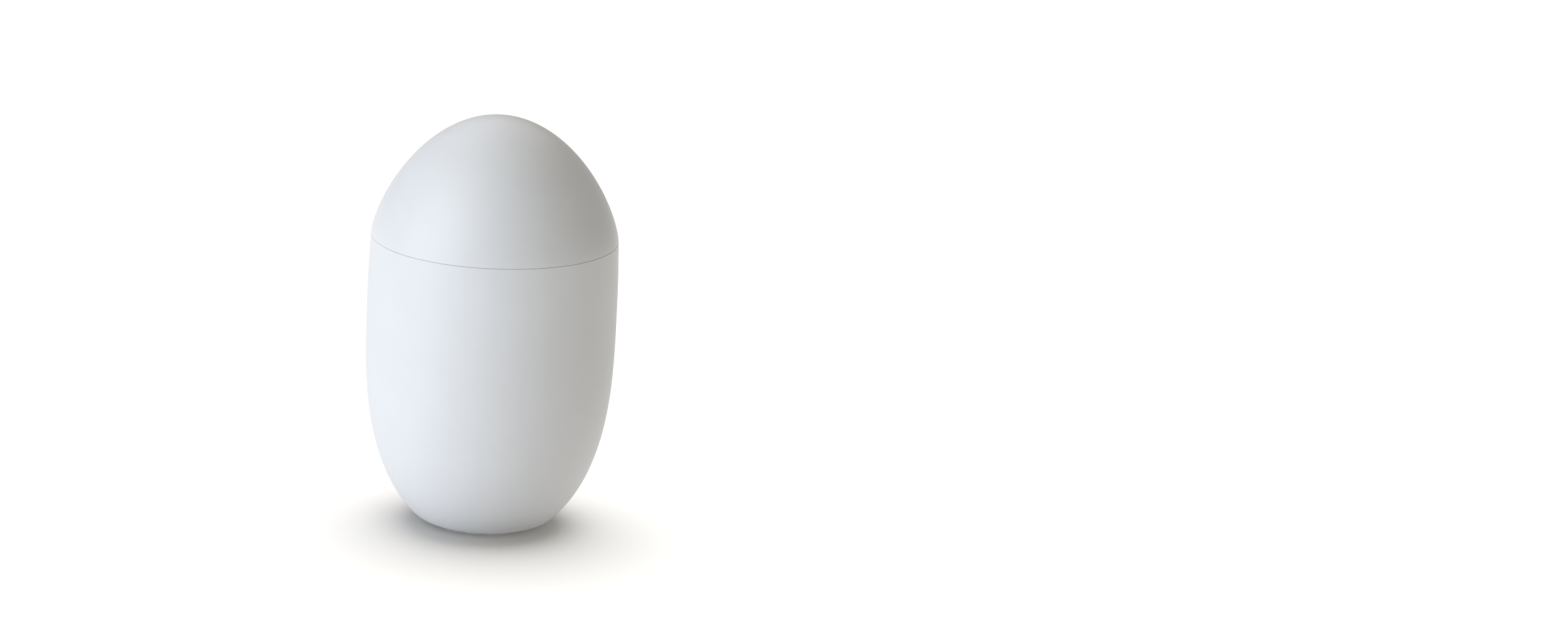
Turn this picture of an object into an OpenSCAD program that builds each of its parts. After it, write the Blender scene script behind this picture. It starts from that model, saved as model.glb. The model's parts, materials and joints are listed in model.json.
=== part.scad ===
// Egg-shaped wind-up kitchen timer with a bell.
// A plain two-part case holds a clockwork movement. Turning the cap clockwise, seen from above,
// winds the mainspring; the train then lets the cap run back to zero, where the bell rings.
// Millimetres, +Z up, origin at the middle of the foot's underside. The cap stands at zero.

/* [Outline] */
// Height from the table to the crown of the cap
total_h = 100; // [96:1:122]
// Largest diameter of the body
body_d = 60; // [60:1:74]
// Height of the parting line between body and cap
seam_z = 70.5; // [66:0.5:76]
// Height of the body's widest ring
belly_z = 55; // [48:1:60]
// How much the body's radius draws in from its widest ring to the parting line
seam_inset = 0.35; // [0:0.05:1]
// Diameter of the flat base
base_d = 31; // [30:1:38]
// Fullness of the body below its widest ring
body_power = 3.1; // [2.4:0.1:4]
// Fullness of the cap
cap_power = 1.42; // [1.3:0.02:2]

/* [Shells] */
// Wall of body and cap
wall = 2; // [1.6:0.1:2.4]
// Open line between cap and body
seam_gap = 0.1; // [0.05:0.05:0.5]
// Bevel along both edges of the parting line
seam_bevel = 0.2; // [0.1:0.05:0.5]
// Rounding of the base's edge
base_round = 1.8; // [1:0.2:3]
// Floor of the body
floor_t = 3; // [2.4:0.2:4]
// Diameter of the rubber foot
foot_d = 26.6; // [22:0.2:27.4]
// Thickness of the rubber foot
foot_t = 1.4; // [1.2:0.1:2]
// How far the foot stands below the body
foot_proud = 0.6; // [0.4:0.1:0.8]
// Inner diameter of the collar under the cap
collar_in_d = 50.4; // [48:0.2:51]
// How far the collar reaches up into the cap
collar_up = 2.5; // [2:0.1:3.5]
// Height of the iron weight
weight_h = 10.5; // [6:0.5:14]

/* [Movement] */
// Thickness of both movement plates
plate_t = 1.2; // [1:0.1:1.6]
// Diameter of the upper plate
upper_plate_d = 53; // [52:0.5:54]
// Diameter of the lower plate
lower_plate_d = 44.8; // [44:0.2:45.4]
// Depth of the upper plate's underside below the parting line
plate_drop = 7; // [6.6:0.2:8]
// Diameter of the main arbor
arbor_d = 4; // [3.2:0.1:4.8]
// Height of the spring barrel without its lid
barrel_h = 6.4; // [5:0.2:8]
// Thickness of the mainspring strip
spring_t = 0.3; // [0.2:0.05:0.4]
// Turns of the mainspring
spring_turns = 7; // [4:1:8]

/* [Wheels] */
// Module of the barrel and great wheel
first_module = 0.5; // [0.48:0.01:0.52]
// Module of the second wheel
second_module = 0.4; // [0.38:0.01:0.41]
// Module of the third wheel
third_module = 0.35; // [0.33:0.01:0.36]

/* [Bell] */
// Outer diameter of the bell
bell_d = 43; // [42:0.5:44]
// Thickness of the bell
bell_t = 0.9; // [0.7:0.1:1.2]
// Height of the bell
bell_h = 11.5; // [9:0.5:12]

/* [Fits] */
// Radial clearance of a shaft that turns in a hole
running_gap = 0.03; // [0.02:0.01:0.06]
// Radial clearance between parts that only sit in one another
seat_gap = 0.1; // [0.05:0.05:0.2]
// Play left between a moving piece and what it stops at
stop_gap = 0.1; // [0.05:0.05:0.2]

/* [Hidden] */
$fn = 96;
eps = 0.01;

// Gearing: the cap turns 5 degrees a minute, and these counts bring every wheel back to the same
// place in its mesh at both ends of the cap's turn
full_turn = 300;
wheel_teeth = 48;
pinion_leaves = 8;
escape_teeth = 18;
star_teeth = 12;

// Outline
belly_r = body_d / 2;
seam_r = belly_r - seam_inset;
base_r = base_d / 2;
shell_z0 = foot_proud;
body_top = seam_z - seam_gap / 2;
cap_bottom = seam_z + seam_gap / 2;
floor_z = foot_t + floor_t;
outline_steps = 36;

// Movement levels, from the case downwards and then from the lower plate upwards
upper_z = seam_z - plate_drop;
layer_gap = 0.8;
barrel_gear_t = 1.4;
lid_t = 0.8;
ratchet_t = 1.2;
click_lift = 0.4;
great_t = 1.2;
fine_t = 1;
great_top = layer_gap + barrel_h + lid_t + layer_gap + ratchet_t + click_lift + great_t;
hub_h = 0.8;
clip_t = 0.55;
pillar_h = great_top + 6.4;
deck_z = upper_z - pillar_h;
lower_z = deck_z - plate_t;
upper_top = upper_z + plate_t;
barrel_z = deck_z + layer_gap;
lid_z = barrel_z + barrel_h;
ratchet_z = lid_z + lid_t + layer_gap;
great_z = ratchet_z + ratchet_t + click_lift;
second_z = great_z + great_t + 1.8;
third_z = second_z + fine_t + 1.5;
escape_z = great_z + great_t + 1.2;
anchor_z = escape_z + fine_t + 0.4;
balance_z = anchor_z + fine_t + 0.6;
star_z = great_z + great_t + 1.4;
fork_z = star_z + fine_t + 0.3;

// Above the upper plate
bush_flange_t = 0.5;
cam_z = upper_top + 0.8;
cam_t = 1.2;
lever_t = 1;
stop_z = cam_z + cam_t + 0.2;
stop_t = 0.8;
hub_z = stop_z + stop_t + 0.4;
hub_up = 13.5;
carrier_z = seam_z + 5;
carrier_t = 2;
hub_r = 4.5;
arbor_top = hub_z + hub_up - 1;
flat_depth = 0.5;

// Mounting of the movement
mount_angles = [95, 215, 335];
mount_screw_r = 1.2;
mount_head_r = 1.9;
mount_r = upper_plate_d / 2 - mount_head_r;
mount_depth = 9;
mount_boss_r = 2.1;
mount_boss_h = 12;
pillar_r = 1.5;
pillar_place = lower_plate_d / 2 - pillar_r - 0.4;
pillar_angles = [137, 232, 320];
pillar_pin_r = 1.1;
pillar_rivet_h = 0.6;
nut_r = 2.2;
nut_t = 1.5;
bush_r = 3.2;

// Fixing of the weight
weight_screw_r = 1.5;
weight_head_r = 3;
weight_head_t = 1.8;
weight_screw_len = 10;

// Cap fixings
cap_boss_place = 17;
cap_boss_r = 2.6;
cap_boss_angles = [30, 150, 270];
cap_screw_r = 1.1;
cap_screw_len = 8;
small_head_r = 1.9;
small_head_t = 1.3;
slot_w = 0.6;
slot_depth = 0.5;

// Teeth
pressure_angle = 26;
addendum = 0.75;
dedendum = 1;
backlash = 0.05;
shaft_r = 0.75;
pivot_r = 0.5;

// Places of the arbors, seen from above
arbor_r = arbor_d / 2;
first_cd = first_module * (wheel_teeth + pinion_leaves) / 2;
second_cd = second_module * (wheel_teeth + pinion_leaves) / 2;
third_cd = third_module * (wheel_teeth + pinion_leaves) / 2;
second_dir = 0;
third_dir = 111;
escape_dir = 150;
balance_dir = 190;
strike_dir = 185;
hammer_dir = 285;
anchor_cd = 8.6;
fork_cd = 7;
second_at = polar(first_cd, second_dir);
third_at = second_at + polar(second_cd, third_dir);
escape_at = third_at + polar(third_cd, escape_dir);
balance_at = escape_at + polar(anchor_cd, balance_dir);
strike_at = polar(first_cd, strike_dir);
hammer_at = strike_at + polar(fork_cd, hammer_dir);
lever_at = polar(12.9, 144.5);

// Escapement
escape_tip = 5.5;
escape_root = 4.2;
anchor_pin_r = 0.2;
anchor_spread = 360 / escape_teeth * 2.25;
escape_phase = balance_dir + anchor_spread + 360 / escape_teeth * 0.75;
balance_r = 6.5;

// Strike work
star_tip = 5.2;
star_root = 3.9;
fork_pin_r = 0.35;
fork_spread = 360 / star_teeth * 1.25;
star_phase = hammer_dir - fork_spread + 180 / star_teeth;
hammer_r = 1.6;
hammer_h = 4;
bell_in_r = bell_d / 2 - bell_t;
hammer_reach = bell_in_r - hammer_r - 1.4;
head_at = polar(hammer_reach, 255);
arm_t = 0.8;
arm_w = 1.4;
arm_boss_r = 1.9;
lock_boss_r = 1.7;
fork_w = 1.3;
head_pin_r = 0.6;
head_rivet_r = 1.1;
head_rivet_t = 0.4;
hammer_shoulder_r = 1.5;
hammer_shoulder_t = 0.6;

// Bell and its post
bell_drop = 2.2;
bell_top = lower_z - bell_drop;
bell_z = bell_top - bell_h;
hammer_arm_z = bell_top - 3.6;
post_seat_r = 2.6;
post_r = 3;
post_flange_r = 4.2;
post_thread_r = 1.5;
pivot_seat_r = 1.2;
pivot_seat_h = 3.2;
bell_nut_t = 1.6;

// Release cam and lever: the cap stands where the lobe is about to lift the lever's nose
cam_r = 5.2;
lobe_r = 6.3;
lobe_foot = 5;
lobe_tip = 3;
nose_r = 0.5;
nose_dir = 172;
nose_at = polar(cam_r + stop_gap + nose_r, nose_dir);
elbow_at = polar(lobe_r + 1.9, nose_dir);
release_turn = lobe_foot + 2 * asin((nose_r + stop_gap) / 2 / cam_r);
lobe_dir = nose_dir - release_turn;

// Lock between the hammer and the lever's tail
bar_w = 1.2;
lock_dir = 115;
lock_len = 5.2;
lock_tip = hammer_at + polar(lock_len, lock_dir);
lock_reach = norm(lock_tip - lever_at);
lock_turn = asin((bar_w + stop_gap) / lock_reach);
lock_overlap = 1;
tail_dir = heading(lock_tip - lever_at) - lock_turn;
tail_at = lever_at + polar(lock_reach * cos(lock_turn) + lock_overlap, tail_dir);

// Stop
stop_place = 8.2;
stop_pin_r = 0.9;
stop_arm_r = 9.3;
stop_arm_dir = 20;
stop_half = (360 - full_turn - release_turn) / 2 - asin((stop_pin_r + stop_gap) / stop_place);
stop_pin_dir = stop_arm_dir + (360 - full_turn + release_turn) / 2;

// Ratchet and click
ratchet_teeth = 16;
ratchet_tip = 6.5;
ratchet_root = 5.6;
click_pivot = polar(9, 50);
click_pivot_r = 0.9;
click_end_r = 1.7;
click_nose_r = 7.3;
leaf_t = 0.26;
leaf_h = 0.7;
leaf_post_r = 0.7;
click_spring_post = polar(8.6, 318);

// Barrel inside
barrel_in_r = 10.2;
barrel_out_r = first_module * wheel_teeth / 2 - dedendum * first_module - 0.3;
core_r = 2.7;
barrel_floor_t = 0.8;

function polar(r, a) = [r * cos(a), r * sin(a)];
function heading(v) = atan2(v[1], v[0]);
function between(a, b, t) = a + (b - a) * t;

// Radius of the body's outside at height z: an ellipse above the widest ring, a fuller curve below it
function body_r(z) = z >= belly_z
    ? belly_r * sqrt(1 - (1 - pow(seam_r / belly_r, 2)) * pow((z - belly_z) / (seam_z - belly_z), 2))
    : belly_r * sqrt(1 - (1 - pow(base_r / belly_r, 2))
        * pow((belly_z - z) / (belly_z - shell_z0), body_power));
function body_slope(z) = (body_r(z + eps) - body_r(z - eps)) / (2 * eps);
function body_in_r(z) = body_r(z) - wall * sqrt(1 + pow(body_slope(z), 2));

// Radius of the cap at height z, for an outer or inner skin that lies inset from the outside
function cap_r(z, inset = 0) = (seam_r - inset)
    * sqrt(max(0, 1 - pow((z - seam_z) / (total_h - inset - seam_z), cap_power)));

// Points of a skin from z0 up to z1
function body_skin(z0, z1) = [for (i = [0:outline_steps]) let (z = between(z0, z1, i / outline_steps))
    [body_r(z), z]];
function body_inner_skin(z0, z1, gap = 0) = [for (i = [0:outline_steps])
    let (z = between(z0, z1, i / outline_steps)) [body_in_r(z) - gap, z]];
function cap_skin(z0, inset = 0) = [for (i = [0:outline_steps])
    let (z = between(z0, total_h - inset, sin(90 * i / outline_steps))) [cap_r(z, inset), z]];
function rounded(a, b, c, n = 5) = [for (i = [0:n]) let (t = i / n)
    between(between(a, b, t), between(b, c, t), t)];
function reversed(list) = [for (i = [len(list) - 1:-1:0]) list[i]];

// Involute teeth: half the tooth's angle at radius r, and the outline of n teeth of module m
function involute(a) = (tan(a) * 180 / PI) - a;
function base_circle(n, m) = n * m / 2 * cos(pressure_angle);
function tooth_half(n, m, r) = let (b = base_circle(n, m), a = acos(min(1, b / max(r, b))))
    90 / n - backlash / (n * m) * 180 / PI + involute(pressure_angle) - involute(a);
function tooth_radii(n, m, steps = 2) = let (root = n * m / 2 - dedendum * m,
    tip = n * m / 2 + addendum * m, start = max(root, base_circle(n, m)))
    concat(root < start ? [root] : [], [for (i = [0:steps]) between(start, tip, i / steps)]);
function gear_outline(n, m) = let (radii = tooth_radii(n, m)) [for (k = [0:n - 1]) each concat(
    [for (r = radii) polar(r, 360 * k / n - tooth_half(n, m, r))],
    [for (r = reversed(radii)) polar(r, 360 * k / n + tooth_half(n, m, r))])];

// Pointed teeth, as on an escape or strike wheel
function point_outline(n, root, tip, root_half, tip_half) = [for (k = [0:n - 1]) let (c = 360 * k / n)
    each [polar(root, c - root_half), polar(tip, c - tip_half),
        polar(tip, c + tip_half), polar(root, c + root_half)]];

// Turn of a pinion of n2 leaves that meshes, in direction dir, with n1 teeth turned by phase
function mesh_phase(dir, n1, phase, n2) = dir + 180 + 180 / n2 - (phase - dir) * n1 / n2;
pinion_phase = function (dir) mesh_phase(dir, wheel_teeth, 0, pinion_leaves);

module at(p, z = 0) { translate([p[0], p[1], z]) children(); }
module on_mounts() { for (a = mount_angles) rotate(a) translate([mount_r, 0, 0]) children(); }
module on_pillars() { for (a = pillar_angles) rotate(a) translate([pillar_place, 0, 0]) children(); }
module on_cap_bosses() { for (a = cap_boss_angles) rotate(a) translate([cap_boss_place, 0, 0]) children(); }

module tube(z, h, r_out, r_in) {
    translate([0, 0, z]) difference() {
        cylinder(h = h, r = r_out);
        translate([0, 0, -eps]) cylinder(h = h + 2 * eps, r = r_in);
    }
}

// A flat bar of width w with round ends, from p to q
module bar(p, q, w) {
    d = q - p;
    translate(p) circle(r = w / 2);
    translate(q) circle(r = w / 2);
    translate(p) rotate(heading(d)) translate([0, -w / 2]) square([norm(d), w]);
}

// A slotted screw that points down from z = 0: its head stands above
module slotted_screw(head_r, head_t, shank_r, shank_len) {
    difference() {
        cylinder(h = head_t, r = head_r);
        translate([-head_r - eps, -slot_w / 2, head_t - slot_depth])
            cube([2 * head_r + 2 * eps, slot_w, slot_depth + eps]);
    }
    translate([0, 0, -shank_len]) cylinder(h = shank_len + eps, r = shank_r);
}

// A spoked wheel with involute teeth and a bore
module spoked_wheel(m, t, bore_r, hub_radius, rim, spokes) {
    pitch_r = wheel_teeth * m / 2;
    window_r = pitch_r - dedendum * m - rim;
    linear_extrude(t) difference() {
        polygon(gear_outline(wheel_teeth, m));
        difference() {
            circle(r = window_r);
            circle(r = hub_radius);
            for (k = [0:spokes - 1]) rotate(360 * (k + 0.5) / spokes)
                translate([0, -hub_radius / 3]) square([window_r + 1, hub_radius * 2 / 3]);
        }
        circle(r = bore_r);
    }
}

// A steel arbor that stands in both plates, with a pinion from pinion_z and a collet under its wheel
module train_arbor(m, pinion_z, pinion_h, phase, collet_z, collet_r) {
    translate([0, 0, lower_z]) cylinder(h = upper_top - lower_z, r = pivot_r);
    translate([0, 0, deck_z + eps]) cylinder(h = pillar_h - 2 * eps, r = shaft_r);
    translate([0, 0, pinion_z]) rotate(phase) linear_extrude(pinion_h)
        polygon(gear_outline(pinion_leaves, m));
    translate([0, 0, collet_z]) cylinder(h = 0.7, r = collet_r);
}

// ---- Case ----

module lower_shell() {
    rim = [[seam_r - seam_bevel, body_top], [body_in_r(body_top) + seam_bevel, body_top]];
    base_edge = rounded([base_r - base_round, shell_z0], [base_r, shell_z0],
        [body_r(shell_z0 + base_round), shell_z0 + base_round]);
    color("whitesmoke") difference() {
        union() {
            rotate_extrude() polygon(concat([[0, shell_z0]], base_edge,
                body_skin(shell_z0 + base_round + 0.4, body_top - seam_bevel), rim,
                reversed(body_inner_skin(floor_z, body_top - seam_bevel)), [[0, floor_z]]));
            on_mounts() mount_boss();
        }
        translate([0, 0, shell_z0 - eps]) cylinder(h = foot_t - shell_z0 + eps, r = foot_d / 2 + seat_gap);
        translate([0, 0, foot_t - eps]) cylinder(h = weight_head_t + eps, r = weight_head_r + seat_gap);
        cylinder(h = floor_z + 1, r = weight_screw_r + seat_gap);
        on_mounts() translate([0, 0, upper_z - mount_depth]) cylinder(h = mount_depth + 1, r = mount_screw_r);
    }
}

// A screw boss and the rib that ties it to the wall
module mount_boss() {
    rib_w = mount_boss_r * 1.2;
    reach = body_in_r(body_top - 1) + wall / 2 - mount_r;
    translate([0, 0, upper_z - mount_boss_h]) {
        cylinder(h = mount_boss_h, r = mount_boss_r);
        translate([0, -rib_w / 2, 0]) cube([reach, rib_w, mount_boss_h]);
    }
}

module foot_pad() {
    color("gainsboro") cylinder(h = foot_t, r = foot_d / 2);
}

module ballast_weight() {
    top = floor_z + weight_h;
    color("dimgray") difference() {
        rotate_extrude() polygon(concat([[0, floor_z]],
            body_inner_skin(floor_z, top, 4 * seat_gap), [[0, top]]));
        translate([0, 0, floor_z - eps]) cylinder(h = weight_screw_len, r = weight_screw_r);
    }
}

module ballast_screw() {
    color("silver") translate([0, 0, foot_t + weight_head_t]) rotate([180, 0, 0])
        slotted_screw(weight_head_r, weight_head_t, weight_screw_r, weight_screw_len);
}

module collar_ring() {
    low = upper_top + 1.8;
    fit_r = body_in_r(body_top - seam_bevel) - seat_gap / 2;
    up_r = cap_r(seam_z + collar_up, wall) - 0.6;
    color("gainsboro") rotate_extrude() polygon([[collar_in_d / 2, low], [fit_r, low], [fit_r, body_top - 1],
        [up_r, body_top - 1], [up_r, seam_z + collar_up - 0.4], [up_r - 0.4, seam_z + collar_up],
        [collar_in_d / 2, seam_z + collar_up]]);
}

// ---- Frame of the movement ----

module plate_holes(pivots, z) {
    translate([0, 0, z - eps]) {
        for (p = pivots) at(p) cylinder(h = plate_t + 2 * eps, r = pivot_r + running_gap);
        at(hammer_at) cylinder(h = plate_t + 2 * eps, r = shaft_r + running_gap);
        on_pillars() cylinder(h = plate_t + 2 * eps, r = pillar_pin_r);
    }
}

train_places = [second_at, third_at, escape_at, balance_at, strike_at];

module upper_plate() {
    color("goldenrod") difference() {
        translate([0, 0, upper_z]) cylinder(h = plate_t, r = upper_plate_d / 2);
        plate_holes(train_places, upper_z);
        translate([0, 0, upper_z - eps]) {
            cylinder(h = plate_t + 2 * eps, r = bush_r);
            on_mounts() cylinder(h = plate_t + 2 * eps, r = mount_screw_r + seat_gap);
            at(polar(stop_place, stop_pin_dir)) cylinder(h = plate_t + 2 * eps, r = stop_pin_r);
            at(lever_at) cylinder(h = plate_t + 2 * eps, r = 1);
            for (a = [265, 295]) at(polar(13, a)) cylinder(h = plate_t + 2 * eps, r = 3);
        }
    }
}

module lower_plate() {
    color("goldenrod") difference() {
        translate([0, 0, lower_z]) cylinder(h = plate_t, r = lower_plate_d / 2);
        plate_holes(train_places, lower_z);
        translate([0, 0, lower_z - eps]) cylinder(h = plate_t + 2 * eps, r = post_seat_r);
        for (a = [285, 45, 90]) at(polar(13.5, a), lower_z - eps) cylinder(h = plate_t + 2 * eps, r = 3.2);
    }
}

module pillars() {
    color("darkgoldenrod") on_pillars() {
        translate([0, 0, deck_z]) cylinder(h = pillar_h, r = pillar_r);
        translate([0, 0, lower_z - eps]) cylinder(h = pillar_h + 2 * plate_t + nut_t, r = pillar_pin_r);
        translate([0, 0, lower_z - pillar_rivet_h]) cylinder(h = pillar_rivet_h, r = pillar_r);
    }
}

module pillar_nuts() {
    color("silver") on_pillars() translate([0, 0, upper_top]) difference() {
        cylinder(h = nut_t, r = nut_r, $fn = 6);
        translate([0, 0, -eps]) cylinder(h = nut_t + 2 * eps, r = pillar_pin_r);
    }
}

module movement_screws() {
    color("silver") on_mounts() translate([0, 0, upper_top])
        slotted_screw(mount_head_r, small_head_t, mount_screw_r, mount_depth + plate_t - 1);
}

module main_bush() {
    color("peru") {
        tube(upper_z, plate_t, bush_r, arbor_r + running_gap);
        tube(upper_top, bush_flange_t, bush_r + 1, arbor_r + running_gap);
    }
}

module bell_post() {
    seat = bell_z + bell_t;
    color("darkgoldenrod") difference() {
        union() {
            translate([0, 0, lower_z - eps]) cylinder(h = plate_t + eps, r = post_seat_r);
            translate([0, 0, lower_z - 1]) cylinder(h = 1, r = post_flange_r);
            translate([0, 0, seat]) cylinder(h = lower_z - seat, r = post_r);
            translate([0, 0, seat - bell_t - bell_nut_t - 0.4])
                cylinder(h = bell_t + bell_nut_t + 0.4 + eps, r = post_thread_r);
        }
        translate([0, 0, deck_z - pivot_seat_h]) cylinder(h = pivot_seat_h + 1, r = pivot_seat_r + running_gap);
    }
}

// A cup, open upwards, with a rounded corner
module bell() {
    r = bell_d / 2;
    corner = 3.5;
    color("silver") rotate_extrude() polygon(concat([[post_thread_r + seat_gap / 2, bell_z]],
        rounded([r - corner, bell_z], [r, bell_z], [r, bell_z + corner], 8),
        [[r, bell_top], [r - bell_t, bell_top]],
        rounded([r - bell_t, bell_z + corner], [r - bell_t, bell_z + bell_t], [r - corner, bell_z + bell_t], 8),
        [[post_thread_r + seat_gap / 2, bell_z + bell_t]]));
}

module bell_nut() {
    color("silver") translate([0, 0, bell_z - bell_nut_t]) difference() {
        cylinder(h = bell_nut_t, r = nut_r + 0.6, $fn = 6);
        translate([0, 0, -eps]) cylinder(h = bell_nut_t + 2 * eps, r = post_thread_r);
    }
}

module stop_pin() {
    color("silver") at(polar(stop_place, stop_pin_dir), upper_z)
        cylinder(h = stop_z + stop_t + 0.2 - upper_z, r = stop_pin_r);
}

module lever_post() {
    color("silver") at(lever_at) {
        translate([0, 0, upper_z]) cylinder(h = cam_z + lever_t + 1 - upper_z, r = 1);
        translate([0, 0, upper_top]) cylinder(h = cam_z - upper_top, r = 1.9);
    }
}

module lever_clip() {
    color("dimgray") at(lever_at) difference() {
        tube(cam_z + lever_t + 0.15, 0.5, 2, 1);
        translate([0, -0.5, cam_z + lever_t]) cube([3, 1, 1]);
    }
}

// A leaf spring that leans on the lever's tail, held by its own stud
module lever_spring() {
    stud = polar(19.6, 166);
    touch = between(lever_at, tail_at, 0.6) + polar(bar_w / 2 + leaf_t / 2 + stop_gap / 2, tail_dir - 90);
    color("steelblue") {
        at(stud, upper_top) cylinder(h = cam_z + lever_t - upper_top, r = leaf_post_r);
        translate([0, 0, cam_z + 0.1]) linear_extrude(leaf_h) bar(stud, touch, leaf_t);
    }
}

// ---- Cap and main arbor: they turn together ----

module cap_shell() {
    color("whitesmoke") difference() {
        union() {
            rotate_extrude() polygon(concat(
                [[cap_r(cap_bottom, wall) + seam_bevel, cap_bottom], [seam_r - seam_bevel, cap_bottom]],
                cap_skin(cap_bottom + seam_bevel), reversed(cap_skin(cap_bottom + seam_bevel, wall))));
            intersection() {
                on_cap_bosses() translate([0, 0, carrier_z + carrier_t])
                    cylinder(h = total_h, r = cap_boss_r);
                rotate_extrude() polygon(concat([[0, carrier_z]], cap_skin(carrier_z, wall / 2)));
            }
        }
        on_cap_bosses() translate([0, 0, carrier_z + carrier_t - eps])
            cylinder(h = cap_screw_len - carrier_t + 0.5, r = cap_screw_r);
    }
}

module cap_carrier() {
    rim_r = cap_r(carrier_z + carrier_t, wall) - 3 * seat_gap;
    color("gainsboro") difference() {
        union() {
            translate([0, 0, carrier_z]) linear_extrude(carrier_t) difference() {
                circle(r = rim_r);
                for (k = [0:5]) rotate(60 * k) translate([cap_boss_place - 3.5, 0]) circle(r = 4.4);
            }
            translate([0, 0, hub_z]) cylinder(h = hub_up, r = hub_r);
        }
        on_cap_bosses() translate([0, 0, carrier_z - eps])
            cylinder(h = carrier_t + 2 * eps, r = cap_screw_r + seat_gap);
        translate([0, 0, hub_z - eps]) d_shaft(hub_up - 0.5, running_gap);
    }
}

// The arbor's D-shaped end, or with a gap the hole that it fits
module d_shaft(h, gap = 0) {
    difference() {
        cylinder(h = h, r = arbor_r + gap);
        translate([arbor_r - flat_depth + gap, -arbor_r - 1, -eps]) cube([arbor_r, 2 * arbor_r + 2, h + 2 * eps]);
    }
}

module carrier_screws() {
    color("silver") on_cap_bosses() translate([0, 0, carrier_z]) rotate([180, 0, 0])
        slotted_screw(small_head_r, small_head_t, cap_screw_r, cap_screw_len);
}

module hub_ring() {
    color("silver") difference() {
        tube(hub_z + 0.6, 3, hub_r + 0.7, hub_r);
        translate([0, -0.4, hub_z]) cube([2 * hub_r, 0.8, 5]);
    }
}

module main_arbor() {
    pivot_z = deck_z - pivot_seat_h + 0.2;
    color("lightsteelblue") {
        translate([0, 0, pivot_z]) cylinder(h = deck_z + 1 - pivot_z, r = pivot_seat_r);
        translate([0, 0, deck_z + 0.2]) cylinder(h = hub_z - deck_z - 0.2, r = arbor_r);
        translate([0, 0, barrel_z + barrel_floor_t + 0.15])
            cylinder(h = barrel_h - barrel_floor_t - 0.3, r = core_r);
        translate([0, 0, hub_z - eps]) d_shaft(arbor_top - hub_z);
    }
}

module ratchet_wheel() {
    pitch = 360 / ratchet_teeth;
    color("silver") translate([0, 0, ratchet_z]) linear_extrude(ratchet_t) difference() {
        polygon([for (k = [0:ratchet_teeth - 1]) each
            [polar(ratchet_root, k * pitch), polar(ratchet_tip, (k + 0.96) * pitch)]]);
        circle(r = arbor_r);
    }
}

module arbor_clip() {
    color("dimgray") difference() {
        tube(great_z + great_t + hub_h + 0.05, clip_t, arbor_r + 1.6, arbor_r);
        translate([0, -0.7, great_z]) cube([arbor_r + 2, 1.4, 5]);
    }
}

module release_cam() {
    color("silver") translate([0, 0, cam_z]) linear_extrude(cam_t) difference() {
        union() {
            circle(r = cam_r);
            polygon([polar(cam_r - 1, lobe_dir - lobe_foot), polar(lobe_r, lobe_dir - lobe_tip),
                polar(lobe_r, lobe_dir + lobe_tip), polar(cam_r - 1, lobe_dir + lobe_foot)]);
        }
        circle(r = arbor_r);
    }
}

module stop_arm() {
    color("silver") translate([0, 0, stop_z]) linear_extrude(stop_t) difference() {
        union() {
            circle(r = 3.6);
            polygon([[0, 0], polar(stop_arm_r, stop_arm_dir - stop_half),
                polar(stop_arm_r, stop_arm_dir + stop_half)]);
        }
        circle(r = arbor_r);
    }
}

// ---- Great wheel and its click ----

module great_wheel() {
    color("gold") difference() {
        union() {
            translate([0, 0, great_z]) spoked_wheel(first_module, great_t, arbor_r + running_gap, 5, 1.2, 4);
            tube(great_z + great_t - eps, hub_h, 3.5, arbor_r + running_gap);
            at(click_pivot, great_z) cylinder(h = great_t, r = click_end_r);
            at(click_spring_post, great_z) cylinder(h = great_t, r = click_end_r);
        }
        at(click_pivot, great_z - eps) cylinder(h = great_t + 2 * eps, r = click_pivot_r);
        at(click_spring_post, great_z - eps) cylinder(h = great_t + 2 * eps, r = leaf_post_r);
    }
}

module click_rivet() {
    color("silver") at(click_pivot) {
        translate([0, 0, ratchet_z - 0.4]) cylinder(h = 0.45, r = 1.6);
        translate([0, 0, ratchet_z]) cylinder(h = great_z + great_t + 0.4 - ratchet_z, r = click_pivot_r);
        translate([0, 0, great_z + great_t]) cylinder(h = 0.4, r = 1.5);
    }
}

module click() {
    color("lightsteelblue") translate([0, 0, ratchet_z + 0.1]) linear_extrude(ratchet_t) difference() {
        union() {
            polygon([polar(ratchet_root + 0.18, 1), polar(click_nose_r, 1), polar(click_nose_r + 0.3, 10),
                click_pivot + polar(click_end_r, -10), click_pivot + polar(click_end_r, 215),
                polar(ratchet_tip + 0.45, 34), polar(ratchet_tip + 0.25, 22)]);
            translate(click_pivot) circle(r = click_end_r);
        }
        translate(click_pivot) circle(r = click_pivot_r + running_gap);
    }
}

// A leaf that presses the click's nose inwards
module click_spring() {
    color("steelblue") {
        at(click_spring_post, ratchet_z) cylinder(h = great_z + great_t - ratchet_z, r = leaf_post_r);
        translate([0, 0, ratchet_z + 0.3]) linear_extrude(leaf_h)
            bar(click_spring_post, polar(click_nose_r + leaf_t + 0.08, 7), leaf_t);
    }
}

// ---- Barrel ----

module spring_barrel() {
    color("gold") difference() {
        union() {
            translate([0, 0, barrel_z]) linear_extrude(barrel_gear_t)
                polygon(gear_outline(wheel_teeth, first_module));
            translate([0, 0, barrel_z]) cylinder(h = barrel_h, r = barrel_out_r);
        }
        translate([0, 0, barrel_z + barrel_floor_t]) cylinder(h = barrel_h, r = barrel_in_r);
        translate([0, 0, barrel_z - eps]) cylinder(h = barrel_h, r = arbor_r + running_gap);
    }
}

module barrel_lid() {
    color("gold") tube(lid_z, lid_t, barrel_out_r, arbor_r + running_gap);
}

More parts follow.
